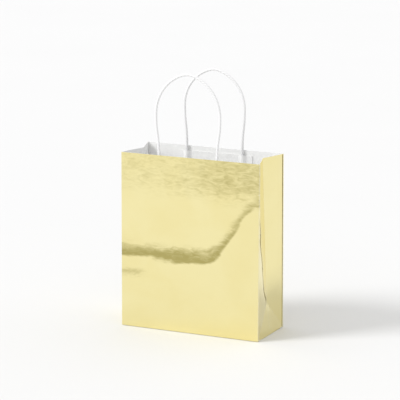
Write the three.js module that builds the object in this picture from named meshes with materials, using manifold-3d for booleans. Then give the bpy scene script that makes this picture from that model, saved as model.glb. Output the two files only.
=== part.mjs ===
// A small paper gift bag with twisted-paper handles, standing open.
// Millimetres, +Z up. The front panel faces -Y and the bag's width runs along X.
import * as THREE from 'three';
import { mergeVertices } from 'three/addons/utils/BufferGeometryUtils.js';
import Module from 'manifold-3d';

// ---- Driving dimensions ----
const BAG_WIDTH = 180;
const BAG_DEPTH = 76;
const BAG_HEIGHT = 213;
const PAPER = 0.3; // stiff foil-faced paper
const PATCH_PAPER = 0.2; // the lighter paper of the handle patches
const GLUE_GAP = 0.1; // between glued layers
const FOLD_GAP = 0.3; // between pieces that a crease joins

// How far the side gussets are pushed in where the bag stands open.
const INSET_AT_FOOT = 5.5;
const INSET_AT_RIM = 11.6;
const PANEL_REST_LEAN = THREE.MathUtils.degToRad(0.49);

// Room that the gusset halves need beside the panels and beside each other as the mouth closes.
const CORNER_ROOM = 2.7; // past the layers that can lie in a corner
const VALLEY_ROOM = 2.5;

// The gusset halves twist a little, so their sheets are divided.
const STEPS_ACROSS = 4;
const STEPS_UP = 16;

// Bottom: two long flaps lap over each other, on top of them lie the tucks of the two ends.
const OUTER_FLAP_REACH = 60;
const INNER_FLAP_REACH = 48;
const END_TUCK_REACH = 36;

// The strip that glues the folded sheet into a tube.
const SEAM_WIDTH = 13;
const SEAM_TOP_MARGIN = 2;

// Handle patches, glued inside under the rim.
const PATCH_SIDE_MARGIN = 4.7; // paper past the bulges over the cord
const PATCH_HEIGHT = 38;
const PATCH_DROP = 6; // from the rim to the patch's top edge
const BULGE_SPREAD = 4.4; // how far the cover paper slopes down beside the cord
const BULGE_STEPS = 12;

// Handles: twisted paper cord.
const CORD_DIAMETER = 3.2;
const CORD_SIDES = 8;
const CORD_STEP = 7;
const CORD_TUCK = 35; // how far each end runs down between the patch papers, from the patch's top
const RIM_CLEARANCE = 0.6; // between the rim and the cord when it is folded out over it
const LOOP_FULLNESS = 0.62; // 0.55 is an ellipse, 1 is a rectangle
const FRONT_HANDLE = { centre: -2.4, legHalf: 38.3, wideHalf: 41.2, wideRise: 49, rise: 98 };
const BACK_HANDLE = { centre: -0.9, legHalf: 36.9, wideHalf: 39.5, wideRise: 51, rise: 95 };

// ---- Derived places ----
const GUSSET_HALF = BAG_DEPTH / 2; // paper from the corner fold to the valley fold
const FOOT_HEIGHT = BAG_DEPTH / 2; // the bottom triangle's 45 degree folds meet here
const FOOT_LEAN = Math.atan(INSET_AT_FOOT / FOOT_HEIGHT);
const FOOT_MARGIN = FOLD_GAP + PAPER; // beside the slanted folds of the bottom triangle
const CORNER_MARGIN = CORNER_ROOM + 3 * PAPER;
const VALLEY_MARGIN = VALLEY_ROOM + PAPER;
const INNER_FLAP_Z = PAPER + GLUE_GAP;
const TUCK_Z = INNER_FLAP_Z + PAPER + GLUE_GAP;
const WALL_Z = TUCK_Z + PAPER + FOLD_GAP; // walls start above the bottom's layers
const PATCH_TOP = BAG_HEIGHT - PATCH_DROP;
const BACKING_Y = PAPER + GLUE_GAP; // depths inside a panel, from its outer face
const COVER_Y = BACKING_Y + PATCH_PAPER + GLUE_GAP;
const CORD_Y = COVER_Y + CORD_DIAMETER / 2;
const BULGE_HEIGHT = CORD_DIAMETER + 2 * GLUE_GAP;
const BULGE_HALF_WIDTH = CORD_DIAMETER / 2 + BULGE_SPREAD;
const WIDEST_LEGS = Math.max(FRONT_HANDLE.legHalf, BACK_HANDLE.legHalf);
const PATCH_HALF_WIDTH = WIDEST_LEGS + BULGE_HALF_WIDTH + PATCH_SIDE_MARGIN;
const BEND_Z = BAG_HEIGHT + CORD_DIAMETER / 2 + RIM_CLEARANCE;

// ---- Materials ----
const goldFoil = () => new THREE.MeshStandardMaterial({
  color: 0xd9cf9a, roughness: 0.28, metalness: 0.9,
});
const whitePaper = () => new THREE.MeshStandardMaterial({
  color: 0xf1f0ea, roughness: 0.85, metalness: 0,
});
const twistedPaper = () => new THREE.MeshStandardMaterial({
  color: 0xf4f3ee, roughness: 0.8, metalness: 0,
});

// ---- Helpers ----
const wasm = await Module();
wasm.setup();

function piece(name, geometry, material) {
  const mesh = new THREE.Mesh(geometry, material());
  mesh.name = name;
  return mesh;
}

function toSolid(geometry) {
  const bare = geometry.clone();
  bare.deleteAttribute('normal');
  bare.deleteAttribute('uv');
  const merged = mergeVertices(bare, 1e-4);
  const vertProperties = new Float32Array(merged.attributes.position.array);
  const triVerts = new Uint32Array(merged.index.array);
  return new wasm.Manifold(new wasm.Mesh({ numProp: 3, vertProperties, triVerts }));
}

function toGeometry(solid) {
  const mesh = solid.getMesh();
  const geometry = new THREE.BufferGeometry();
  geometry.setAttribute('position', new THREE.BufferAttribute(new Float32Array(mesh.vertProperties), 3));
  geometry.setIndex(new THREE.BufferAttribute(new Uint32Array(mesh.triVerts), 1));
  geometry.computeVertexNormals();
  return geometry;
}

// A box given by its lowest and highest corners.
function boxBetween(low, high) {
  const size = high.map((value, axis) => value - low[axis]);
  const geometry = new THREE.BoxGeometry(...size);
  geometry.translate(...low.map((value, axis) => value + size[axis] / 2));
  return geometry;
}

// A thin sheet between four corners: two along its lower edge and two along its upper edge.
function sheetBetween(lowA, lowB, highA, highB, thickness) {
  const geometry = new THREE.BoxGeometry(1, 1, 1, STEPS_ACROSS, 1, STEPS_UP);
  const position = geometry.attributes.position;
  const low = new THREE.Vector3();
  const high = new THREE.Vector3();
  const along = new THREE.Vector3();
  const normal = new THREE.Vector3();
  for (let i = 0; i < position.count; i += 1) {
    const across = position.getX(i) + 0.5;
    const up = position.getZ(i) + 0.5;
    low.lerpVectors(lowA, lowB, across);
    high.lerpVectors(highA, highB, across);
    along.lerpVectors(lowB.clone().sub(lowA), highB.clone().sub(highA), up);
    normal.subVectors(high, low).cross(along).normalize();
    low.lerp(high, up).addScaledVector(normal, position.getY(i) * thickness);
    position.setXYZ(i, low.x, low.y, low.z);
  }
  geometry.computeVertexNormals();
  return geometry;
}

// ---- Bottom ----
function outerBottomFlap() {
  const low = [-BAG_WIDTH / 2, -BAG_DEPTH / 2, 0];
  return boxBetween(low, [BAG_WIDTH / 2, -BAG_DEPTH / 2 + OUTER_FLAP_REACH, PAPER]);
}

function innerBottomFlap() {
  const low = [-BAG_WIDTH / 2, BAG_DEPTH / 2 - INNER_FLAP_REACH, INNER_FLAP_Z];
  return boxBetween(low, [BAG_WIDTH / 2, BAG_DEPTH / 2, INNER_FLAP_Z + PAPER]);
}

// An end's tuck has slanted sides, folded at 45 degrees. side is 1 on the right, -1 on the left.
function endTuck(side) {
  const end = BAG_WIDTH / 2;
  const halfDepth = BAG_DEPTH / 2;
  const tip = halfDepth - END_TUCK_REACH / 2;
  const outline = new THREE.Shape([
    new THREE.Vector2(side * end, -halfDepth),
    new THREE.Vector2(side * end, halfDepth),
    new THREE.Vector2(side * (end - END_TUCK_REACH), tip),
    new THREE.Vector2(side * (end - END_TUCK_REACH), -tip),
  ]);
  const geometry = new THREE.ExtrudeGeometry(outline, { depth: PAPER, bevelEnabled: false });
  geometry.translate(0, 0, TUCK_Z);
  return geometry;
}

// ---- Side gussets ----
// A point of a gusset half: u runs from the corner fold (0) to the valley fold (GUSSET_HALF).
function gussetPoint(side, frontOrRear, u, z) {
  const insetRise = (INSET_AT_RIM - INSET_AT_FOOT) / (BAG_HEIGHT - FOOT_HEIGHT);
  const inset = INSET_AT_FOOT + insetRise * (z - FOOT_HEIGHT);
  const cornerY = BAG_DEPTH / 2 - z * Math.tan(PANEL_REST_LEAN);
  const share = u / GUSSET_HALF;
  return new THREE.Vector3(
    side * (BAG_WIDTH / 2 - inset * share),
    frontOrRear * cornerY * (1 - share),
    z,
  );
}

// Half of a gusset: bounded by the corner fold, the valley fold and the bottom triangle's fold.
function gussetHalf(side, frontOrRear) {
  const corner = CORNER_MARGIN;
  const valley = GUSSET_HALF - VALLEY_MARGIN;
  const foldHeight = (u) => (u * FOOT_HEIGHT) / GUSSET_HALF + FOOT_MARGIN;
  const ends = [
    gussetPoint(side, frontOrRear, corner, foldHeight(corner)),
    gussetPoint(side, frontOrRear, valley, foldHeight(valley)),
    gussetPoint(side, frontOrRear, corner, BAG_HEIGHT),
    gussetPoint(side, frontOrRear, valley, BAG_HEIGHT),
  ];
  return sheetBetween(...ends, PAPER);
}

// The triangle at the foot of a gusset leans in from the end of the bottom.
function gussetFoot(side) {
  const margin = FOOT_MARGIN * Math.SQRT2;
  const half = BAG_DEPTH / 2 - WALL_Z - margin;
  const outline = new THREE.Shape([
    new THREE.Vector2(-half, 0),
    new THREE.Vector2(half, 0),
    new THREE.Vector2(0, half),
  ]);
  const geometry = new THREE.ExtrudeGeometry(outline, { depth: PAPER, bevelEnabled: false });
  geometry.translate(0, 0, -PAPER / 2);
  geometry.rotateX(Math.PI / 2);
  geometry.rotateZ(Math.PI / 2);
  geometry.rotateY(-side * FOOT_LEAN);
  geometry.translate(side * (BAG_WIDTH / 2 - PAPER), 0, WALL_Z);
  return geometry;
}

// ---- Panels, in a frame whose origin is the middle of the panel's bottom fold, inside at +Y ----
function panel() {
  return boxBetween([-BAG_WIDTH / 2, 0, WALL_Z], [BAG_WIDTH / 2, PAPER, BAG_HEIGHT]);
}

function seamFlap() {
  const right = BAG_WIDTH / 2 - FOLD_GAP;
  const low = [right - SEAM_WIDTH, BACKING_Y, WALL_Z];
  return boxBetween(low, [right, BACKING_Y + PAPER, BAG_HEIGHT - SEAM_TOP_MARGIN]);
}

function patchBacking(centre) {
  const low = [centre - PATCH_HALF_WIDTH, BACKING_Y, PATCH_TOP - PATCH_HEIGHT];
  return boxBetween(low, [centre + PATCH_HALF_WIDTH, BACKING_Y + PATCH_PAPER, PATCH_TOP]);
}

// The cover paper lies flat on the backing and bulges over the two cord ends.
function patchCover({ centre, legHalf }) {
  const lift = (x) => {
    const offset = Math.abs(Math.abs(x) - legHalf);
    const swell = 0.5 + 0.5 * Math.cos((Math.PI * offset) / BULGE_HALF_WIDTH);
    return offset < BULGE_HALF_WIDTH ? swell * BULGE_HEIGHT : 0;
  };
  const bulge = (leg) => Array.from(
    { length: BULGE_STEPS + 1 },
    (_, i) => leg + BULGE_HALF_WIDTH * ((2 * i) / BULGE_STEPS - 1),
  );
  const places = [-PATCH_HALF_WIDTH, ...bulge(-legHalf), ...bulge(legHalf), PATCH_HALF_WIDTH];
  const under = places.map((x) => new THREE.Vector2(centre + x, COVER_Y + lift(x)));
  const over = places.map((x) => new THREE.Vector2(centre + x, COVER_Y + lift(x) + PATCH_PAPER));
  const outline = new THREE.Shape([...under, ...over.reverse()]);
  const geometry = new THREE.ExtrudeGeometry(outline, { depth: PATCH_HEIGHT, bevelEnabled: false });
  geometry.translate(0, 0, PATCH_TOP - PATCH_HEIGHT);
  return geometry;
}

// ---- Handles ----
function cordAlong(path) {
  const turn = (i) => (2 * Math.PI * (i + 0.5)) / CORD_SIDES;
  const ring = Array.from({ length: CORD_SIDES }, (_, i) => new THREE.Vector2(
    (CORD_DIAMETER / 2) * Math.cos(turn(i)),
    (CORD_DIAMETER / 2) * Math.sin(turn(i)),
  ));
  const steps = Math.max(1, Math.round(path.getLength() / CORD_STEP));
  const settings = { steps, extrudePath: path, bevelEnabled: false };
  return new THREE.ExtrudeGeometry(new THREE.Shape(ring), settings);
}

// One end of a handle, straight, from between the patch papers up to the rim.
function handleEnd({ centre, legHalf }, side) {
  const x = centre + side * legHalf;
  const low = new THREE.Vector3(x, CORD_Y, PATCH_TOP - CORD_TUCK);
  const high = new THREE.Vector3(x, CORD_Y, BEND_Z - CORD_DIAMETER / 2 - FOLD_GAP);
  return cordAlong(new THREE.LineCurve3(low, high));
}

// Half of the loop, from a leg's bend at the rim, out to its widest place and up to the top.
function loopSide({ centre, legHalf, wideHalf, wideRise, rise }, side) {
  const at = (half, z) => new THREE.Vector3(centre + side * half, CORD_Y, z);
  const wide = BAG_HEIGHT + wideRise;
  const top = BAG_HEIGHT + rise;
  const leg = (wide - BEND_Z) / 2;
  const lower = new THREE.CubicBezierCurve3(
    at(legHalf, BEND_Z), at(legHalf, BEND_Z + leg), at(wideHalf, wide - leg), at(wideHalf, wide));
  const upper = new THREE.CubicBezierCurve3(
    at(wideHalf, wide), at(wideHalf, wide + LOOP_FULLNESS * (top - wide)),
    at(wideHalf * (1 - LOOP_FULLNESS), top), at(0, top));
  return [lower, upper];
}

function reversed(curve) {
  return new THREE.CubicBezierCurve3(curve.v3, curve.v2, curve.v1, curve.v0);
}

function handleLoop(handle) {
  const [leftLower, leftUpper] = loopSide(handle, -1);
  const [rightLower, rightUpper] = loopSide(handle, 1);
  const path = new THREE.CurvePath();
  [leftLower, leftUpper, reversed(rightUpper), reversed(rightLower)].forEach((c) => path.add(c));
  const bends = [leftLower.v0, rightLower.v0].map((place) => {
    const ball = new THREE.SphereGeometry(CORD_DIAMETER / 2, CORD_SIDES, CORD_SIDES / 2);
    ball.translate(place.x, place.y, place.z);
    return toSolid(ball);
  });
  return toGeometry(bends.reduce((solid, ball) => solid.add(ball), toSolid(cordAlong(path))));
}

// ---- Assembly ----
// One wall of the bag with its patch and handle. The back wall is the same, turned half round.
function wall(name, handle, turned) {
  const lean = new THREE.Group();
  lean.rotation.x = -PANEL_REST_LEAN;
  lean.add(
    piece(`${name}_panel`, panel(), goldFoil),
    piece(`${name}_patch_backing`, patchBacking(handle.centre), whitePaper),
    piece(`${name}_patch_cover`, patchCover(handle), whitePaper),
    piece(`${name}_handle_end_a`, handleEnd(handle, -1), twistedPaper),
    piece(`${name}_handle_end_b`, handleEnd(handle, 1), twistedPaper),
    piece(`${name}_handle_loop`, handleLoop(handle), twistedPaper),
  );
  const place = new THREE.Group();
  place.position.y = turned ? BAG_DEPTH / 2 : -BAG_DEPTH / 2;
  place.rotation.z = turned ? Math.PI : 0;
  place.add(lean);
  return { place, lean };
}

const bag = new THREE.Group();
bag.add(
  piece('outer_bottom_flap', outerBottomFlap(), goldFoil),
  piece('inner_bottom_flap', innerBottomFlap(), goldFoil),
);
[['right', 1], ['left', -1]].forEach(([name, side]) => {
  bag.add(
    piece(`${name}_end_tuck`, endTuck(side), goldFoil),
    piece(`${name}_gusset_foot`, gussetFoot(side), goldFoil),
    piece(`${name}_gusset_front_half`, gussetHalf(side, -1), goldFoil),
    piece(`${name}_gusset_rear_half`, gussetHalf(side, 1), goldFoil),
  );
});
const front = wall('front', FRONT_HANDLE, false);
const back = wall('back', { ...BACK_HANDLE, centre: -BACK_HANDLE.centre }, true);
back.lean.add(piece('side_seam_flap', seamFlap(), goldFoil));
bag.add(front.place, back.place);

export default bag;
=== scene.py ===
import math

import bpy
import numpy as np
from bpy.props import FloatProperty, FloatVectorProperty, PointerProperty
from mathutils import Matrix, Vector


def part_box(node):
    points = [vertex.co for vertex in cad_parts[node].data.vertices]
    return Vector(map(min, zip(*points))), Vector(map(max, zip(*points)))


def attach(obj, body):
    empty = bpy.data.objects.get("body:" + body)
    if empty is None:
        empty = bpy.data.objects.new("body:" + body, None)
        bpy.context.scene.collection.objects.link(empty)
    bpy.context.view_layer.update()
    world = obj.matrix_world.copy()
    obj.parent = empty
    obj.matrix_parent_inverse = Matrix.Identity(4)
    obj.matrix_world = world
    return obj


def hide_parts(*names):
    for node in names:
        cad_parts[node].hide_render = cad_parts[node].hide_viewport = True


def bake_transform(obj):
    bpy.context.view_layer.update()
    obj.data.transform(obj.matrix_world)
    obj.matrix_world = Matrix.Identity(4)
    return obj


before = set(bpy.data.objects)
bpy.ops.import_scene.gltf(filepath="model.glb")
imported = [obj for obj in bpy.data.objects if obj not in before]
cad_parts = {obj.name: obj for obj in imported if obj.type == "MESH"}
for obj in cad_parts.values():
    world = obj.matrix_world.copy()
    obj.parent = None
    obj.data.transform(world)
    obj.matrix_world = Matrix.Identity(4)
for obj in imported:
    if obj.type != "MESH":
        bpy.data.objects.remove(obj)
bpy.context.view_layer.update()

bl_info = {
    "name": "Gold Paper Gift Bag",
    "version": (1, 0, 0),
    "blender": (4, 5, 0),
    "location": "3D View > Sidebar > Gift Bag",
    "description": "Makes a small foil paper gift bag with two twisted paper handles",
    "category": "Object",
}

MM = 0.001
PANEL_LOW, PANEL_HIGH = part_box("front_panel")
BASE_LOW, BASE_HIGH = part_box("outer_bottom_flap")

# ---- Measures that the CAD part also has, in metres ----
REST_LEAN = math.radians(0.49)
GLUE_GAP = 0.1 * MM
PATCH_PAPER = 0.2 * MM
PATCH_HEIGHT = 38 * MM
PATCH_DROP = 6 * MM
PATCH_HALF_WIDTH = 49 * MM
BULGE_HALF_WIDTH = 6 * MM
SEAM_WIDTH = 13 * MM
SEAM_TOP_MARGIN = 2 * MM
OUTER_FLAP_REACH = 60 * MM
INNER_FLAP_REACH = 48 * MM
END_TUCK_REACH = 36 * MM
INSET_AT_FOOT = 5.5 * MM
INSET_AT_RIM = 11.6 * MM
RIM_CLEARANCE = 0.6 * MM
FRONT_HANDLE = {"centre": -3.2 * MM, "leg": 38.0 * MM, "wide": 41.6 * MM,
                "wide_rise": 48 * MM, "rise": 98 * MM, "fullness": 0.67}
BACK_HANDLE = {"centre": 0.2 * MM, "leg": 36.7 * MM, "wide": 39.5 * MM,
               "wide_rise": 49 * MM, "rise": 95.4 * MM, "fullness": 0.70}

# ---- Measures of the finished pieces alone ----
WALL_STEP = 1.5 * MM
WALL_LIP = 1.7 * MM
SEAM_FOLD_MARGIN = 3.2 * MM
SEAM_CUT_BACK = 2.6 * MM
FLAP_FOLD_MARGIN = 1.8 * MM
VALLEY_TONGUE = 3.6 * MM
TONGUE_DROP = 0.35 * MM
GUSSET_BULGE = 0.5 * MM
CORNER_ROOM_ACROSS = 0.35 * MM
CORNER_ROOM_ALONG = 0.7 * MM
CORD_TUCK = 28 * MM
CORD_STEP = 0.6 * MM

# ---- Painted reflection on the front panel: a dark streak and a darker top painted into the foil's colour ----
BAND_LEVEL = 90 * MM
BAND_CLIMB = 75 * MM
BAND_CLIMB_START = 10 * MM
BAND_CURVE = 1.5
BAND_BELOW = 4 * MM
BAND_ABOVE = 13 * MM
BAND_WAVE_SLOPE = 0.15
BAND_WAVES = np.array([60, 37, 23, 14, 9]) * MM
LOW_BAND_LEVEL = 68 * MM
LOW_BAND_REACH = 7 * MM
LOW_BAND_START = 45 * MM
LOW_BAND_FULL = 75 * MM
# The darker top of the front panel is painted reflection too
PAINTED_DARK_TOP_START = 145 * MM
PAINTED_DARK_TOP_FULL = 185 * MM

# ---- Stage ----
FLOOR_HALF_SIZE = 60.0
FLOOR_DROP = 0.2 * MM
SURROUND_STRENGTH = 0.95
LAMP_ENERGY = 1.75
LAMP_SPREAD = math.radians(20)
LAMP_DIRECTION = Vector((-0.75, -0.66, 0.81))

# ---- Camera ----
VIEW_YAW = math.radians(25.265)
VIEW_PITCH = math.radians(12.295)
VIEW_DISTANCE = 2.6515
VIEW_TARGET = Vector((-0.0032, 0.0, 0.15515))
SENSOR_WIDTH = 36.0
VIEW_LENS = 199.79


# ---- Sizes and colours that a user would change ----
class BagSizes(bpy.types.PropertyGroup):
    """Sizes of the bag and of its paper."""

    width: FloatProperty(
        name="Width", description="Width of the front and back panels",
        default=PANEL_HIGH.x - PANEL_LOW.x, subtype="DISTANCE", unit="LENGTH")
    depth: FloatProperty(
        name="Depth", description="Depth of the bottom from front to back",
        default=0.076, subtype="DISTANCE", unit="LENGTH")
    height: FloatProperty(
        name="Height", description="Height of the panels, measured along the paper",
        default=0.213, subtype="DISTANCE", unit="LENGTH")
    paper: FloatProperty(
        name="Paper", description="Thickness of the foil paper",
        default=BASE_HIGH.z - BASE_LOW.z, subtype="DISTANCE", unit="LENGTH")
    fold_radius: FloatProperty(
        name="Fold radius", description="Radius that the folded edges are rounded to",
        default=0.9 * MM, subtype="DISTANCE", unit="LENGTH")
    cord: FloatProperty(
        name="Cord", description="Diameter of the twisted handle cord",
        default=3.2 * MM, subtype="DISTANCE", unit="LENGTH")
    wave_slope: FloatProperty(
        name="Waviness", description="How steeply the foil paper undulates",
        default=math.radians(0.09), subtype="ANGLE", unit="ROTATION")


class BagColours(bpy.types.PropertyGroup):
    """Colours of the papers and of the studio floor."""

    foil: FloatVectorProperty(
        name="Foil", description="Reflected colour of the gold foil",
        size=3, default=(0.905, 0.815, 0.435), min=0, max=1, subtype="COLOR")
    deep_foil: FloatVectorProperty(
        name="Deep foil", description="Second tone that clouds the foil",
        size=3, default=(0.885, 0.785, 0.395), min=0, max=1, subtype="COLOR")
    # Colour of the painted reflection: the dark streak and darker top on the front panel
    painted_reflection_foil: FloatVectorProperty(
        name="Band", description="Deepest tone of the foil, in the band across the front",
        size=3, default=(0.45, 0.39, 0.14), min=0, max=1, subtype="COLOR")
    paper: FloatVectorProperty(
        name="Inside", description="White side of the foil paper, and its cut edges",
        size=3, default=(0.88, 0.88, 0.87), min=0, max=1, subtype="COLOR")
    patch: FloatVectorProperty(
        name="Patch", description="Paper that holds the cord ends",
        size=3, default=(0.88, 0.88, 0.87), min=0, max=1, subtype="COLOR")
    cord: FloatVectorProperty(
        name="Cord", description="Twisted paper of the handles",
        size=3, default=(0.81, 0.81, 0.81), min=0, max=1, subtype="COLOR")
    floor: FloatVectorProperty(
        name="Floor", description="Studio floor",
        size=3, default=(0.745, 0.745, 0.745), min=0, max=1, subtype="COLOR")


# ---- Meshes from whole arrays ----
def new_piece(name, points, quads, uvs, material_index, materials):
    """A mesh object from points (n, 3), quads (m, 4), corner UVs (m, 4, 2) and a material per face."""
    mesh = bpy.data.meshes.new(name)
    mesh.vertices.add(len(points))
    mesh.vertices.foreach_set("co", np.asarray(points, np.float32).ravel())
    mesh.loops.add(quads.size)
    mesh.loops.foreach_set("vertex_index", quads.astype(np.int32).ravel())
    mesh.polygons.add(len(quads))
    mesh.polygons.foreach_set("loop_start", np.arange(len(quads), dtype=np.int32) * 4)
    mesh.polygons.foreach_set("material_index", np.asarray(material_index, np.int32))
    mesh.update(calc_edges=True)
    layer = mesh.uv_layers.new(name="paper")
    layer.uv.foreach_set("vector", np.asarray(uvs, np.float32).ravel())
    for material in materials:
        mesh.materials.append(material)
    mesh.validate()
    mesh.shade_smooth()
    mesh.set_sharp_from_angle(angle=math.radians(50))
    piece = bpy.data.objects.new(name, mesh)
    bpy.context.scene.collection.objects.link(piece)
    return piece


def add_value(piece, name, values):
    """Stores one number per vertex as an attribute that a material can read."""
    attribute = piece.data.attributes.new(name, "FLOAT", "POINT")
    attribute.data.foreach_set("value", np.asarray(values, np.float32).ravel())


def grid_quads(rows, columns):
    """Corner indices of a rows by columns grid's faces: along the row first, then to the next row."""
    index = np.arange(rows * columns).reshape(rows, columns)
    corners = (index[:-1, :-1], index[:-1, 1:], index[1:, 1:], index[1:, :-1])
    return np.stack(corners, axis=-1).reshape(-1, 4)


def grid_normals(grid):
    """Unit normals of a grid of points: the cross product of its steps along a row and across rows."""
    along = np.gradient(grid, axis=1)
    across = np.gradient(grid, axis=0)
    normals = np.cross(along, across)
    return normals / np.linalg.norm(normals, axis=2, keepdims=True)


def paper_lengths(grid):
    """UVs in metres: length along the middle row, and along the middle column, from their starts."""
    middle_row = grid[grid.shape[0] // 2]
    middle_column = grid[:, grid.shape[1] // 2]
    steps_u = np.linalg.norm(np.diff(middle_row, axis=0), axis=1)
    steps_v = np.linalg.norm(np.diff(middle_column, axis=0), axis=1)
    u = np.concatenate([[0], np.cumsum(steps_u)])
    v = np.concatenate([[0], np.cumsum(steps_v)])
    return np.stack(np.meshgrid(u, v), axis=-1)


def paper_sheet(name, outside, thickness, materials, fold=None, uv_shift=(0, 0)):
    """A closed sheet of paper. The outside face is the grid, the inside face is the same grid moved by
    the thickness against its normals, and strips along the four borders join the two."""
    rows, columns = outside.shape[:2]
    count = rows * columns
    inside = outside - grid_normals(outside) * thickness
    points = np.concatenate([outside.reshape(-1, 3), inside.reshape(-1, 3)])
    uv = paper_lengths(outside).reshape(-1, 2) + np.array(uv_shift)
    point_uv = np.concatenate([uv, uv])
    front = grid_quads(rows, columns)
    back = front[:, ::-1] + count
    index = np.arange(count).reshape(rows, columns)
    border = np.concatenate([index[0], index[1:, -1], index[-1, -2::-1], index[-2::-1, 0]])
    following = border[1:]
    border = border[:-1]
    rim = np.stack([following, border, border + count, following + count], axis=-1)
    quads = np.concatenate([front, back, rim])
    which = np.repeat([0, 1, 2], [len(front), len(back), len(rim)])
    piece = new_piece(name, points, quads, point_uv[quads], which, materials)
    near_fold = np.zeros(count) if fold is None else fold.ravel()
    add_value(piece, "fold", np.concatenate([near_fold, near_fold]))
    return piece


def waves(x, y, slope, lengths, seed):
    """Gentle undulation: a sum of plane sine waves with seeded directions and phases. A wave of length L
    has the height slope * L / (2 pi), so that each wave is equally steep."""
    random = np.random.default_rng(seed)
    total = np.zeros_like(x)
    for length in lengths:
        turn, phase = random.uniform(0, 2 * np.pi, 2)
        lengthwise = x * np.cos(turn) + y * np.sin(turn)
        total += slope * length / (2 * np.pi) * np.sin(2 * np.pi * lengthwise / length + phase)
    return total


def smoothstep(value, low, high):
    """0 below low, 1 above high, and 3t^2 - 2t^3 between them."""
    t = np.clip((value - low) / (high - low), 0, 1)
    return t * t * (3 - 2 * t)


def fold_nearness(distance, width=1.6 * MM):
    """1 on a fold, falling smoothly to 0 at the given distance from it."""
    return 1 - smoothstep(np.abs(distance), 0, width)


# ---- Walls ----
def place_wall(local, turned, sizes):
    """From a wall's own frame (x along the panel, y inwards from its outer face, z up from the bottom
    fold) to the bag's: lean about the bottom fold, move to the front, and turn half round for the back."""
    x, y, z = local[..., 0], local[..., 1], local[..., 2]
    leaned_y = y * math.cos(REST_LEAN) + z * math.sin(REST_LEAN) - sizes.depth / 2
    leaned_z = z * math.cos(REST_LEAN) - y * math.sin(REST_LEAN)
    sign = -1 if turned else 1
    return np.stack([sign * x, sign * leaned_y, leaned_z], axis=-1)


def rolled_stations(flat_end, radius, lip, step):
    """Lengths along the paper on one side of a panel's middle: even steps to where the roll starts,
    then six steps round the quarter roll, then two on the lip."""
    flat = np.linspace(0, flat_end, max(2, round(flat_end / step)) + 1)
    roll = flat_end + np.linspace(0, radius * np.pi / 2, 7)[1:]
    return np.concatenate([flat, roll, roll[-1] + lip * np.array([0.5, 1.0])])


def roll(length, flat_end, radius):
    """Paper that turns a quarter round. Beyond flat_end its angle is a = (length - flat_end) / radius,
    and it lies at across = flat_end + radius sin a. Past a right angle it goes straight on into the
    depth. Gives across, the angle and the length of the straight run."""
    angle = np.clip((length - flat_end) / radius, 0, np.pi / 2)
    straight = np.maximum(0, length - flat_end - radius * np.pi / 2)
    across = np.minimum(length, flat_end) + radius * np.sin(angle)
    return across, angle, straight


def patch_relief(x, z, handle, sizes):
    """How the glued patch shows through the panel: a low plateau over the patch with soft edges, and a
    smooth ridge over each cord end."""
    top = sizes.height - PATCH_DROP
    offset = x - handle["centre"]
    inside = smoothstep(PATCH_HALF_WIDTH - np.abs(offset), -0.8 * MM, 0.8 * MM)
    inside = inside * smoothstep(z, top - PATCH_HEIGHT - 0.8 * MM, top - PATCH_HEIGHT + 0.8 * MM)
    inside = inside * smoothstep(top - z, -0.8 * MM, 0.8 * MM)
    ridge = np.exp(-((np.abs(offset) - handle["leg"]) / (2.2 * MM)) ** 2)
    return 0.010 * MM * inside + 0.020 * MM * ridge * inside


def wall_grid(turned, handle, sizes, seed):
    """A panel's outer face: flat paper with gentle waves, rolled a quarter round at both sides and at
    the bottom. Where two rolls meet, depth = radius (1 - cos a cos b)."""
    radius = sizes.fold_radius
    half = rolled_stations(sizes.width / 2 - radius, radius, WALL_LIP, WALL_STEP)
    along = np.concatenate([-half[:0:-1], half])
    below = rolled_stations(sizes.height - radius, radius, WALL_LIP, WALL_STEP)
    u, v = np.meshgrid(along, below[::-1])
    across, side_angle, side_lip = roll(np.abs(u), sizes.width / 2 - radius, radius)
    down, foot_angle, foot_lip = roll(v, sizes.height - radius, radius)
    x = np.sign(u) * across
    z = sizes.height - down
    depth = radius * (1 - np.cos(side_angle) * np.cos(foot_angle)) + side_lip + foot_lip
    away = smoothstep(sizes.width / 2 - np.abs(x), 0.5 * MM, 14 * MM) * smoothstep(z, 0.5 * MM, 14 * MM)
    lengths = np.array([140, 110, 90, 74, 60, 47, 36, 27, 20]) * MM
    bow = 0.35 * MM * np.cos(np.pi * x / sizes.width) * np.sin(np.pi * z / sizes.height)
    swell = away * (waves(x, z, sizes.wave_slope, lengths, seed) + bow)
    relief = patch_relief(-x if turned else x, z, handle, sizes)
    local = np.stack([x, depth - swell - relief, z], axis=-1)
    fold = np.maximum(fold_nearness(sizes.width / 2 - np.abs(x)), fold_nearness(z))
    return place_wall(local, turned, sizes), fold


def painted_reflection(x, z, sizes):
    """How strongly the painted reflection darkens the foil's colour over the front panel: a painted dark
    streak whose sharp lower edge lies level and then climbs to the right, edge = level + climb s^1.5 with
    s a smoothstep of x, which fades as exp(-(d / reach)^2) and reaches further above its edge than below;
    a short painted streak low on the left; and a painted darker top. Small waves shift z, so that no edge
    is straight."""
    z = z + waves(x, z * 2.5, BAND_WAVE_SLOPE, BAND_WAVES, 8)
    s = smoothstep(x, BAND_CLIMB_START, sizes.width / 2)
    d = z - (BAND_LEVEL + BAND_CLIMB * s ** BAND_CURVE)
    band = (0.95 - 0.4 * s) * np.exp(-(d / np.where(d < 0, BAND_BELOW, BAND_ABOVE)) ** 2)
    low = 0.5 * np.exp(-((z - LOW_BAND_LEVEL) / LOW_BAND_REACH) ** 2)
    low = low * smoothstep(-x, LOW_BAND_START, LOW_BAND_FULL)
    to_right = smoothstep(x, -30 * MM, 50 * MM)
    top = smoothstep(z, PAINTED_DARK_TOP_START, PAINTED_DARK_TOP_FULL) * (0.26 + 0.20 * to_right)
    return np.maximum.reduce([band, low, top])


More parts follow.
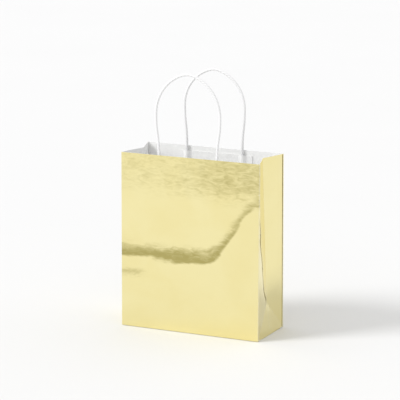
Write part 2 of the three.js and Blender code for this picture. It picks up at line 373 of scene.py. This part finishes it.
def make_wall(name, body, turned, handle, sizes, papers, seed):
    """One panel of foil paper, foil outside and white inside."""
    grid, fold = wall_grid(turned, handle, sizes, seed)
    piece = paper_sheet(f"{name}_wall", grid, sizes.paper, papers, fold, (seed * 0.31, 0))
    # Only the front panel gets the painted reflection: a dark streak and a darker top in the foil's colour
    if not turned:
        depth = painted_reflection(grid[..., 0], grid[..., 2], sizes).ravel()
        add_value(piece, "painted_reflection", np.concatenate([depth, depth]))
    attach(piece, body)
    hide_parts(f"{name}_panel")


def flat_wall_sheet(name, low, high, depth, lift, thickness, turned, sizes, materials, body):
    """A flat layer inside a wall, between two corners (x, z) in the wall's frame. Its outer face lies at
    y = depth + lift(x, z)."""
    (x_low, z_low), (x_high, z_high) = low, high
    x = np.linspace(x_low, x_high, max(8, round((x_high - x_low) / (0.5 * MM))) + 1)
    z = np.linspace(z_low, z_high, max(8, round((z_high - z_low) / (1.0 * MM))) + 1)
    grid_x, grid_z = np.meshgrid(x, z)
    grid_y = depth + lift(grid_x, grid_z)
    local = np.stack([grid_x, grid_y, grid_z], axis=-1)
    piece = paper_sheet(name, place_wall(local, turned, sizes), thickness, materials)
    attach(piece, body)
    return piece


def make_seam(sizes, papers):
    """The glued strip that closes the sheet into a tube, on the back panel's white side."""
    right = sizes.width / 2 - SEAM_FOLD_MARGIN
    low = (right + SEAM_CUT_BACK - SEAM_WIDTH, 2 * MM)
    high = (right, sizes.height - SEAM_TOP_MARGIN)

    def ripple(x, z):
        return 0.05 * MM * (1 + np.sin(z / (9 * MM)) * np.sin(x / (4 * MM)))

    piece = flat_wall_sheet("seam_strip", low, high, sizes.paper + GLUE_GAP, ripple, sizes.paper, True,
                            sizes, papers, "back")
    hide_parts("side_seam_flap")


# ---- Patches ----
def make_patches(name, body, turned, handle, sizes, papers):
    """The two papers that hold a handle's ends: a flat backing, and a cover that rises over each cord
    end by (1 + cos(pi d / w)) / 2 of the cord's height, d being the distance from the cord."""
    centre = -handle["centre"] if turned else handle["centre"]
    top = sizes.height - PATCH_DROP
    low = (centre - PATCH_HALF_WIDTH, top - PATCH_HEIGHT)
    high = (centre + PATCH_HALF_WIDTH, top)
    backing_depth = sizes.paper + GLUE_GAP
    cover_depth = backing_depth + PATCH_PAPER + GLUE_GAP
    seed = 31 if turned else 17

    def flat(x, z):
        return 0.02 * MM * (1 + np.sin(x / (7 * MM)) * np.sin(z / (5 * MM)))

    def over_cord(x, z):
        offset = np.abs(np.abs(x - centre) - handle["leg"])
        swell = 0.5 + 0.5 * np.cos(np.pi * np.minimum(offset / BULGE_HALF_WIDTH, 1))
        closing = smoothstep(z, low[1], low[1] + 7 * MM)
        rise = swell * (0.12 + 0.88 * closing) * (sizes.cord + 2 * GLUE_GAP)
        crumple = waves(x, z, math.radians(2.2), np.array([23, 17, 12, 9, 7]) * MM, seed)
        held = smoothstep(offset, BULGE_HALF_WIDTH, 2.2 * BULGE_HALF_WIDTH) * 0.6
        ripples = 0.05 * MM * np.sin(z / (1.1 * MM) + 2 * np.sin(x / (3 * MM))) * swell * (1 - swell) * 4
        return rise + np.abs(crumple) * held + np.maximum(ripples, 0)

    backing = flat_wall_sheet(f"{name}_patch_backing_paper", low, high, backing_depth, flat,
                              PATCH_PAPER, turned, sizes, papers, body)
    cover = flat_wall_sheet(f"{name}_patch_cover_paper", low, high, cover_depth, over_cord,
                            PATCH_PAPER, turned, sizes, papers, body)
    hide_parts(f"{name}_patch_backing")
    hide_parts(f"{name}_patch_cover")


# ---- Gussets ----
def gusset_inset(share, z, foot_height, height):
    """How far a gusset is pushed in. share is 0 at the corner fold and 1 at the valley fold. On the
    bottom triangle it grows with height alone; on the wedge beside it, and above, with the share."""
    foot = INSET_AT_FOOT * z / foot_height
    wedge = INSET_AT_FOOT * share
    rise = (INSET_AT_RIM - INSET_AT_FOOT) * (z - foot_height) / (height - foot_height)
    above = (INSET_AT_FOOT + rise) * share
    low = np.where(z < foot_height * share, foot, wedge)
    return np.where(z < foot_height, low, above)


def gusset_grid(side, facing, sizes, seed):
    """Half of a side gusset, from the corner fold to the valley fold, with its part of the bottom
    triangle. side is 1 on the right; facing is -1 for the front half. A tongue past the valley fold
    lies behind the other half, so that the fold stays closed when it moves."""
    half_depth = sizes.depth / 2
    tongue = VALLEY_TONGUE / half_depth
    shares = np.linspace(0, 1, 39)
    if facing < 0:
        shares = np.append(shares, [1 + tongue / 2, 1 + tongue])
    heights = np.linspace(sizes.paper, sizes.height, 214)
    share, z = np.meshgrid(shares, heights)
    inner = np.minimum(share, 1)
    past = np.maximum(share - 1, 0)
    inset = gusset_inset(inner, z, half_depth, sizes.height)
    corner_y = half_depth - z * math.tan(REST_LEAN) - CORNER_ROOM_ALONG * (1 - inner)
    slack = np.sin(np.pi * inner) * smoothstep(z, half_depth * 0.6, half_depth * 2.2)
    lengths = np.array([95, 70, 52, 40, 30, 22]) * MM
    ripple = waves(inner * half_depth, z, 4.0 * sizes.wave_slope, lengths, seed)
    bulge = slack * (GUSSET_BULGE + ripple)
    x = sizes.width / 2 - CORNER_ROOM_ACROSS * (1 - inner) - inset + bulge
    x = x - np.where(past > 0, TONGUE_DROP, 0) + past * inset
    y = facing * (corner_y * (1 - inner) - past * half_depth)
    grid = np.stack([side * x, y, z], axis=-1)
    diagonal = (z - half_depth * inner) / math.sqrt(2)
    fold = np.maximum(fold_nearness(half_depth * (1 - inner)), fold_nearness(half_depth * inner))
    fold = np.maximum(fold, np.where(z < half_depth, fold_nearness(diagonal), 0))
    fold = np.maximum(fold, 0.7 * fold_nearness(z - half_depth))
    if side * facing < 0:
        return grid, fold
    return grid[:, ::-1], fold[:, ::-1]


def make_gusset_half(side_name, side, facing_name, facing, sizes, papers, seed):
    """One gusset half."""
    grid, fold = gusset_grid(side, facing, sizes, seed)
    name = f"{side_name}_gusset_{facing_name}"
    piece = paper_sheet(f"{name}_paper", grid, sizes.paper, papers, fold, (seed * 0.23, 0.4))
    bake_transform(piece)
    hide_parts(f"{name}_half")
    if facing < 0:
        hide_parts(f"{side_name}_gusset_foot")


# ---- Bottom ----
def level_sheet(name, corners, height, waviness, sizes, papers, node):
    """A level sheet with its foil side down, a bilinear patch between four corners (x, y): near left,
    near right, far left, far right."""
    near_left, near_right, far_left, far_right = (np.array(c) for c in corners)
    u, v = np.meshgrid(np.linspace(0, 1, 91), np.linspace(1, 0, 41))
    u, v = u[..., None], v[..., None]
    flat = (near_left * (1 - u) + near_right * u) * (1 - v) + (far_left * (1 - u) + far_right * u) * v
    edge = smoothstep(np.minimum(np.minimum(u, 1 - u), np.minimum(v, 1 - v))[..., 0], 0, 0.15)
    lift = edge * (waviness + waves(flat[..., 0], flat[..., 1], math.radians(0.15),
                                    np.array([60, 40, 25]) * MM, 5))
    grid = np.concatenate([flat, (height + np.maximum(lift, 0))[..., None]], axis=-1)
    piece = paper_sheet(name, grid, sizes.paper, papers)
    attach(piece, "base")
    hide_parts(node)


def make_bottom(sizes, papers):
    """The two long flaps that lap over each other, and on top of them the slanted tucks of the ends."""
    end = sizes.width / 2 - 0.4 * MM
    edge = sizes.depth / 2 - sizes.fold_radius - FLAP_FOLD_MARGIN
    lap = sizes.depth / 2
    outer = [(-end, -edge), (end, -edge), (-end, OUTER_FLAP_REACH - lap), (end, OUTER_FLAP_REACH - lap)]
    inner = [(-end, lap - INNER_FLAP_REACH), (end, lap - INNER_FLAP_REACH), (-end, edge), (end, edge)]
    layer = sizes.paper + GLUE_GAP
    level_sheet("outer_flap_paper", outer, 0, 0, sizes, papers, "outer_bottom_flap")
    level_sheet("inner_flap_paper", inner, layer, 0, sizes, papers, "inner_bottom_flap")
    tip = lap - END_TUCK_REACH / 2
    for name, side in (("right", 1), ("left", -1)):
        near, far = side * (sizes.width / 2 - END_TUCK_REACH), side * end
        left, right = (near, far) if side > 0 else (far, near)
        left_y, right_y = (tip, lap - 1 * MM) if side > 0 else (lap - 1 * MM, tip)
        corners = [(left, -left_y), (right, -right_y), (left, left_y), (right, right_y)]
        level_sheet(f"{name}_tuck_paper", corners, 2 * layer, 0.05 * MM, sizes, papers,
                    f"{name}_end_tuck")


# ---- Handles ----
def bezier(points, count):
    """Points of a cubic Bezier curve: the sum of the corners with weights (1-t)^3, 3t(1-t)^2,
    3t^2(1-t) and t^3."""
    t = np.linspace(0, 1, count)[:, None]
    a, b, c, d = (np.array(p, float) for p in points)
    return a * (1 - t) ** 3 + 3 * b * t * (1 - t) ** 2 + 3 * c * t ** 2 * (1 - t) + d * t ** 3


def handle_side(handle, side, sizes):
    """One side of a handle in the wall's (x, z): straight up from inside the patch to the bend above
    the rim, out to the widest place, and over to the middle of the top."""
    centre = handle["centre"]
    bend = sizes.height + sizes.cord / 2 + RIM_CLEARANCE
    start = sizes.height - PATCH_DROP - CORD_TUCK
    wide = sizes.height + handle["wide_rise"]
    top = sizes.height + handle["rise"]
    reach = (wide - bend) / 2
    full = handle["fullness"]

    def at(half, z):
        return (centre + side * half, z)

    leg = np.linspace(at(handle["leg"], start), at(handle["leg"], bend), 60)
    lower = bezier([at(handle["leg"], bend), at(handle["leg"], bend + reach),
                    at(handle["wide"], wide - reach), at(handle["wide"], wide)], 200)
    upper = bezier([at(handle["wide"], wide), at(handle["wide"], wide + full * (top - wide)),
                    at(handle["wide"] * (1 - full), top), at(0, top)], 300)
    return np.concatenate([leg, lower[1:], upper[1:]])


def even_path(path, step):
    """The same path with evenly spaced points, interpolated on its length, and their lengths so far."""
    lengths = np.concatenate([[0], np.cumsum(np.linalg.norm(np.diff(path, axis=0), axis=1))])
    even = np.linspace(0, lengths[-1], round(lengths[-1] / step) + 1)
    return np.stack([np.interp(even, lengths, path[:, axis]) for axis in range(3)], axis=-1), even


def twisted_cord(name, path, lengths, diameter, material):
    """A twisted paper cord: a ring carried along the path. With s the length so far and a the angle
    round the ring, the radius is r (1 - g (1 - |cos(1.5 (a - 2 pi s / pitch))|)), which gives three
    strands that wind round each other. Both ends are closed flat."""
    sides, pitch, groove = 30, 13 * MM, 0.17
    tangent = np.gradient(path, axis=0)
    tangent /= np.linalg.norm(tangent, axis=1, keepdims=True)
    across = np.cross(tangent[len(path) // 4], tangent[len(path) // 2])
    across /= np.linalg.norm(across)
    outward = np.cross(tangent, across)
    angle = np.linspace(0, 2 * np.pi, sides, endpoint=False)
    s, a = np.meshgrid(lengths, angle, indexing="ij")
    wander = 0.9 * np.sin(s / (21 * MM)) + 0.5 * np.sin(s / (8.3 * MM) + 1)
    phase = 1.5 * (a - 2 * np.pi * s / pitch + 0.25 * wander)
    valley = 1 - np.abs(np.cos(phase))
    radius = diameter / 2 * (1 - groove * valley) * (1 + 0.012 * np.sin(s / (3.1 * MM)))
    ring = (np.cos(a)[..., None] * outward[:, None] + np.sin(a)[..., None] * across)
    points = (path[:, None] + ring * radius[..., None]).reshape(-1, 3)
    rows = len(path)
    index = np.arange(rows * sides).reshape(rows, sides)
    index = np.concatenate([index, index[:, :1]], axis=1)
    quads = np.stack([index[:-1, :-1], index[:-1, 1:], index[1:, 1:], index[1:, :-1]], axis=-1)
    quads = quads.reshape(-1, 4)
    u, v = np.meshgrid(lengths, np.arange(sides + 1) / sides, indexing="ij")
    uv = np.stack([u, v * np.pi * diameter], axis=-1)
    uvs = np.stack([uv[:-1, :-1], uv[:-1, 1:], uv[1:, 1:], uv[1:, :-1]], axis=-2).reshape(-1, 4, 2)
    quads, uvs = close_ends(quads, uvs, index)
    piece = new_piece(name, points, quads, uvs, np.zeros(len(quads)), [material])
    add_value(piece, "groove", valley)
    return piece


def close_ends(quads, uvs, index):
    """Closes both ends with quads that span the ring: opposite corners are joined across."""
    sides = index.shape[1] - 1
    step = np.arange(sides // 2 - 1)
    caps = []
    for ring, flip in ((index[0, :-1], False), (index[-1, :-1], True)):
        near, opposite = ring[step], ring[sides - 1 - step]
        cap = np.stack([near, ring[step + 1], ring[sides - 2 - step], opposite], axis=-1)
        caps.append(cap if flip else cap[:, ::-1])
    extra = np.concatenate(caps)
    return np.concatenate([quads, extra]), np.concatenate([uvs, np.zeros((len(extra), 4, 2))])


def make_handle(name, turned, handle, sizes, material):
    """A handle in one length of cord, both ends held between the patch papers."""
    mirrored = dict(handle, centre=-handle["centre"]) if turned else handle
    left = handle_side(mirrored, -1, sizes)
    right = handle_side(mirrored, 1, sizes)
    flat = np.concatenate([left, right[-2::-1]])
    depth = sizes.paper + 2 * GLUE_GAP + PATCH_PAPER + sizes.cord / 2
    local = np.stack([flat[:, 0], np.full(len(flat), depth), flat[:, 1]], axis=-1)
    path, lengths = even_path(place_wall(local, turned, sizes), CORD_STEP)
    piece = twisted_cord(f"{name}_handle_cord", path, lengths, sizes.cord, material)
    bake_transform(piece)
    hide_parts(f"{name}_handle_end_a", f"{name}_handle_end_b", f"{name}_handle_loop")


# ---- Shader nodes ----
class Value:
    """A shader output. Python's arithmetic on it adds Math nodes."""

    def __init__(self, recipe, socket):
        self.recipe = recipe
        self.socket = socket

    def math(self, operation, first, second):
        return self.recipe.node("ShaderNodeMath", {"operation": operation}, {0: first, 1: second})

    def __add__(self, other):
        return self.math("ADD", self, other)

    def __sub__(self, other):
        return self.math("SUBTRACT", self, other)

    def __rsub__(self, other):
        return self.math("SUBTRACT", other, self)

    def __mul__(self, other):
        return self.math("MULTIPLY", self, other)

    __radd__ = __add__
    __rmul__ = __mul__


class Recipe:
    """A material in the making."""

    def __init__(self, name):
        self.material = bpy.data.materials.new(name)
        self.material.use_nodes = True
        self.tree = self.material.node_tree
        self.tree.nodes.clear()

    def node(self, kind, settings=None, values=None, output=0):
        """Any node: its type, its settings, and the numbers or links of its sockets."""
        made = self.tree.nodes.new(kind)
        for key, value in (settings or {}).items():
            setattr(made, key, value)
        for key, value in (values or {}).items():
            socket = made.inputs[key]
            if isinstance(value, Value):
                self.tree.links.new(value.socket, socket)
            else:
                socket.default_value = value
        return Value(self, made.outputs[output]) if made.outputs else made

    def paper(self):
        """The piece's own UV map, in metres along its paper."""
        return self.node("ShaderNodeUVMap", {"uv_map": "paper"})

    def attribute(self, name):
        """A number stored on the piece's vertices."""
        return self.node("ShaderNodeAttribute", {"attribute_name": name}, output=2)

    def stretched(self, vector, scale):
        """The coordinates times a scale per axis, so that a pattern is drawn out where it is small."""
        return self.node("ShaderNodeVectorMath", {"operation": "MULTIPLY"}, {0: vector, 1: scale})

    def noise(self, vector, scale, detail=2.0, roughness=0.5, distortion=0.0):
        """Cloudy noise between 0 and 1."""
        values = {"Vector": vector, "Scale": scale, "Detail": detail, "Roughness": roughness,
                  "Distortion": distortion}
        return self.node("ShaderNodeTexNoise", None, values)

    def smooth(self, value, low, high):
        """0 below low, 1 above high, smooth between."""
        settings = {"interpolation_type": "SMOOTHSTEP"}
        return self.node("ShaderNodeMapRange", settings, {0: value, 1: low, 2: high})

    def mix(self, factor, first, second):
        """Blends two colours, each a link or an RGBA."""
        return self.node("ShaderNodeMix", {"data_type": "RGBA"}, {0: factor, 6: first, 7: second}, 2)

    def bump(self, height, distance, normal=None):
        """A normal bent by a height, on top of another bend if one is given."""
        values = {"Height": height, "Distance": distance, "Strength": 1.0}
        if normal is not None:
            values["Normal"] = normal
        return self.node("ShaderNodeBump", None, values)

    def finish(self, **values):
        """The Principled shader with these sockets, and the output."""
        named = {key.replace("_", " "): value for key, value in values.items()}
        shader = self.node("ShaderNodeBsdfPrincipled", None, named)
        self.node("ShaderNodeOutputMaterial", None, {"Surface": shader})
        return self.material


def rgba(colour, factor=1.0):
    """The colour times a factor, with full opacity."""
    return (colour[0] * factor, colour[1] * factor, colour[2] * factor, 1.0)


def foil_material(colours):
    """Gold foil on paper: a clouded mirror with fine roller streaks, faint paper grain pressed through
    it, smudges that change its gloss, pale cracks where it is folded, and a painted reflection, a darker,
    feathered tone by the painted_reflection attribute, which is 0 on the pieces that have none."""
    make = Recipe("gold_foil")
    paper = make.paper()
    cloud = make.smooth(make.noise(paper, 16.0, 3.0, 0.55, 0.4), 0.3, 0.7)
    smudge = make.noise(make.stretched(paper, (1.0, 0.45, 1.0)), 55.0, 6.0, 0.62, 0.8)
    streaks = make.noise(make.stretched(paper, (1.0, 0.03, 1.0)), 1400.0, 2.0)
    grain = make.noise(paper, 1500.0, 3.0, 0.6)
    buckle = make.noise(make.stretched(paper, (0.42, 1.0, 1.0)), 70.0, 4.0, 0.55, 0.6)
    fold = make.attribute("fold")
    speck = make.smooth(make.noise(paper, 900.0, 4.0, 0.7), 0.5, 0.62)
    worn = make.smooth(fold, 0.55, 1.0) * speck * 0.8
    tone = make.mix(cloud, rgba(colours.foil), rgba(colours.deep_foil))
    # Painted reflection: the attribute darkens the colour towards the painted reflection colour, feathered
    # by noise
    depth = make.attribute("painted_reflection")
    feather = make.noise(make.stretched(paper, (0.34, 1.0, 1.0)), 210.0, 5.0, 0.65, 1.2)
    painted_reflection_mottled = depth + (feather - 0.5) * 1.1 * make.smooth(depth, 0.02, 0.3)
    with_painted_reflection = make.mix(make.smooth(painted_reflection_mottled, 0.05, 1.0), tone, rgba(colours.painted_reflection_foil))
    colour = make.mix(worn, with_painted_reflection, rgba(colours.paper))
    gloss = 0.045 + make.smooth(smudge, 0.42, 0.75) * 0.05 + worn * 0.5 + fold * 0.05
    height = buckle + grain * 0.02 + streaks * 0.008
    normal = make.bump(height, 0.04 * MM)
    return make.finish(Base_Color=colour, Metallic=1 - worn, Roughness=gloss, Normal=normal)


def plain_paper_material(name, colour, fibre_scale, wrinkle):
    """Uncoated white paper: cloudy fibres, a few darker flecks, and a fine tooth."""
    make = Recipe(name)
    paper = make.paper()
    formation = make.noise(paper, 180.0, 4.0, 0.6)
    fibre = make.noise(make.stretched(paper, (1.0, 0.3, 1.0)), fibre_scale, 5.0, 0.65, 0.5)
    fleck = make.smooth(make.noise(paper, 620.0, 2.0), 0.72, 0.78)
    shade = make.smooth(formation, 0.25, 0.75)
    tone = make.mix(shade, rgba(colour, 0.965), rgba(colour, 1.02))
    flecked = make.mix(fleck * 0.35, tone, rgba(colour, 0.72))
    fold = make.attribute("fold")
    # Darker along the folds
    darker_at_folds = make.mix(fold * 0.25, flecked, rgba(colour, 0.8))
    rough = 0.72 + fibre * 0.2
    tooth = make.bump(fibre, 0.03 * MM)
    creased = make.bump(make.noise(paper, 95.0, 3.0, 0.5, 1.2), wrinkle, tooth)
    return make.finish(Base_Color=darker_at_folds, Roughness=rough, Normal=creased)


def cord_material(colour):
    """Twisted paper: the strip's fibres run along the strands, and painted shade darkens the grooves."""
    make = Recipe("twisted_paper")
    paper = make.paper()
    groove = make.attribute("groove")
    fibre = make.noise(make.stretched(paper, (0.35, 1.0, 1.0)), 2600.0, 4.0, 0.6, 0.4)
    cloud = make.noise(paper, 260.0, 3.0)
    # Painted shade: the grooves are darker
    shade = make.smooth(groove, 0.35, 1.0) * 0.75
    tone = make.mix(cloud, rgba(colour, 0.96), rgba(colour, 1.03))
    colour_out = make.mix(shade, tone, rgba(colour, 0.70))
    return make.finish(Base_Color=colour_out, Roughness=0.7 + fibre * 0.2,
                       Normal=make.bump(fibre, 0.05 * MM))


def bag_papers(colours):
    """The foil outside, the white inside and the cut edge, made once and shared."""
    made = bpy.data.materials.get("gold_foil")
    if made is None:
        foil_material(colours)
        plain_paper_material("white_inside", colours.paper, 1300.0, 0.02 * MM)
        plain_paper_material("cut_edge", colours.paper, 3000.0, 0.0)
    return [bpy.data.materials[name] for name in ("gold_foil", "white_inside", "cut_edge")]


# ---- Stage ----
def view_back():
    """The direction from the target to the camera."""
    level = math.cos(VIEW_PITCH)
    return Vector((math.sin(VIEW_YAW) * level, -math.cos(VIEW_YAW) * level, math.sin(VIEW_PITCH)))


def make_camera():
    """A long lens that looks slightly down at the bag and is not rolled."""
    data = bpy.data.cameras.new("camera")
    data.sensor_width = SENSOR_WIDTH
    data.lens = VIEW_LENS
    data.clip_start = 0.05
    data.clip_end = 400
    camera = bpy.data.objects.new("camera", data)
    bpy.context.scene.collection.objects.link(camera)
    back = view_back()
    camera.location = VIEW_TARGET + back * VIEW_DISTANCE
    camera.rotation_euler = back.to_track_quat("Z", "Y").to_euler()
    bpy.context.scene.camera = camera


def make_floor(colours):
    """A wide, plain, pale floor just under the bag."""
    steps = np.linspace(-FLOOR_HALF_SIZE, FLOOR_HALF_SIZE, 41)
    x, y = np.meshgrid(steps, steps)
    points = np.stack([x, y, np.full_like(x, -FLOOR_DROP)], axis=-1).reshape(-1, 3)
    quads = grid_quads(len(steps), len(steps))
    uv = np.stack([x, y], axis=-1).reshape(-1, 2)
    make = Recipe("pale_floor")
    tint = make.noise(make.paper(), 3.0, 2.0)
    colour = make.mix(tint, rgba(colours.floor, 0.99), rgba(colours.floor, 1.01))
    material = make.finish(Base_Color=colour, Roughness=0.9)
    floor = new_piece("floor", points, quads, uv[quads], np.zeros(len(quads)), [material])


def make_lights():
    """A white surround and one broad, soft lamp from the front left."""
    world = bpy.data.worlds.new("surround")
    world.use_nodes = True
    background = world.node_tree.nodes["Background"]
    background.inputs["Color"].default_value = (1.0, 1.0, 1.0, 1.0)
    background.inputs["Strength"].default_value = SURROUND_STRENGTH
    bpy.context.scene.world = world
    lamp = bpy.data.lights.new("broad_lamp", "SUN")
    lamp.energy = LAMP_ENERGY
    lamp.angle = LAMP_SPREAD
    holder = bpy.data.objects.new("broad_lamp", lamp)
    bpy.context.scene.collection.objects.link(holder)
    holder.rotation_euler = LAMP_DIRECTION.to_track_quat("Z", "Y").to_euler()


# ---- Operators ----
class GIFTBAG_OT_camera(bpy.types.Operator):
    """Places the camera that frames the bag"""

    bl_idname = "gift_bag.camera"
    bl_label = "Camera"

    def execute(self, context):
        make_camera()
        return {"FINISHED"}


class GIFTBAG_OT_walls(bpy.types.Operator):
    """Makes the front and back walls and the glued seam"""

    bl_idname = "gift_bag.walls"
    bl_label = "Walls"

    def execute(self, context):
        sizes = context.scene.gift_bag_sizes
        papers = bag_papers(context.scene.gift_bag_colours)
        make_wall("front", "front", False, FRONT_HANDLE, sizes, papers, 4)
        make_wall("back", "back", True, BACK_HANDLE, sizes, papers, 9)
        make_seam(sizes, papers)
        return {"FINISHED"}


class GIFTBAG_OT_gussets(bpy.types.Operator):
    """Makes the folded sides, each in two halves"""

    bl_idname = "gift_bag.gussets"
    bl_label = "Side gussets"

    def execute(self, context):
        sizes = context.scene.gift_bag_sizes
        papers = bag_papers(context.scene.gift_bag_colours)
        seed = 20
        for side_name, side in (("right", 1), ("left", -1)):
            for facing_name, facing in (("front", -1), ("rear", 1)):
                make_gusset_half(side_name, side, facing_name, facing, sizes, papers, seed)
                seed += 1
        return {"FINISHED"}


class GIFTBAG_OT_bottom(bpy.types.Operator):
    """Makes the lapped flaps and end tucks of the bottom"""

    bl_idname = "gift_bag.bottom"
    bl_label = "Bottom"

    def execute(self, context):
        sizes = context.scene.gift_bag_sizes
        make_bottom(sizes, bag_papers(context.scene.gift_bag_colours))
        return {"FINISHED"}


class GIFTBAG_OT_patches(bpy.types.Operator):
    """Makes the paper patches that hold the handle ends"""

    bl_idname = "gift_bag.patches"
    bl_label = "Handle patches"

    def execute(self, context):
        sizes = context.scene.gift_bag_sizes
        colour = context.scene.gift_bag_colours.patch
        material = plain_paper_material("patch_paper", colour, 1000.0, 0.06 * MM)
        papers = [material, material, material]
        make_patches("front", "front", False, FRONT_HANDLE, sizes, papers)
        make_patches("back", "back", True, BACK_HANDLE, sizes, papers)
        return {"FINISHED"}


class GIFTBAG_OT_handles(bpy.types.Operator):
    """Makes the two twisted paper handles"""

    bl_idname = "gift_bag.handles"
    bl_label = "Handles"

    def execute(self, context):
        sizes = context.scene.gift_bag_sizes
        material = cord_material(context.scene.gift_bag_colours.cord)
        make_handle("front", False, FRONT_HANDLE, sizes, material)
        make_handle("back", True, BACK_HANDLE, sizes, material)
        return {"FINISHED"}


class GIFTBAG_OT_stage(bpy.types.Operator):
    """Makes the floor and the lights"""

    bl_idname = "gift_bag.stage"
    bl_label = "Stage"

    def execute(self, context):
        context.scene.view_settings.view_transform = "Standard"
        make_floor(context.scene.gift_bag_colours)
        make_lights()
        return {"FINISHED"}


class GIFTBAG_PT_panel(bpy.types.Panel):
    """Lists the bag's sizes, colours and pieces"""

    bl_idname = "GIFTBAG_PT_panel"
    bl_label = "Gift Bag"
    bl_space_type = "VIEW_3D"
    bl_region_type = "UI"
    bl_category = "Gift Bag"

    def draw(self, context):
        for group in (context.scene.gift_bag_sizes, context.scene.gift_bag_colours):
            column = self.layout.column()
            for name in group.__annotations__:
                column.prop(group, name)
        for operator in OPERATORS:
            self.layout.operator(operator.bl_idname)


OPERATORS = (
    GIFTBAG_OT_camera,
    GIFTBAG_OT_handles,
    GIFTBAG_OT_walls,
    GIFTBAG_OT_gussets,
    GIFTBAG_OT_bottom,
    GIFTBAG_OT_patches,
    GIFTBAG_OT_stage,
)
CLASSES = (BagSizes, BagColours, *OPERATORS, GIFTBAG_PT_panel)


def register():
    for each in CLASSES:
        bpy.utils.register_class(each)
    bpy.types.Scene.gift_bag_sizes = PointerProperty(type=BagSizes)
    bpy.types.Scene.gift_bag_colours = PointerProperty(type=BagColours)


def unregister():
    del bpy.types.Scene.gift_bag_colours
    del bpy.types.Scene.gift_bag_sizes
    for each in reversed(CLASSES):
        bpy.utils.unregister_class(each)


def main():
    register()
    bpy.ops.gift_bag.camera()
    bpy.ops.gift_bag.handles()
    bpy.ops.gift_bag.walls()
    bpy.ops.gift_bag.gussets()
    bpy.ops.gift_bag.bottom()
    bpy.ops.gift_bag.patches()
    bpy.ops.gift_bag.stage()


if __name__ == "__main__":
    main()
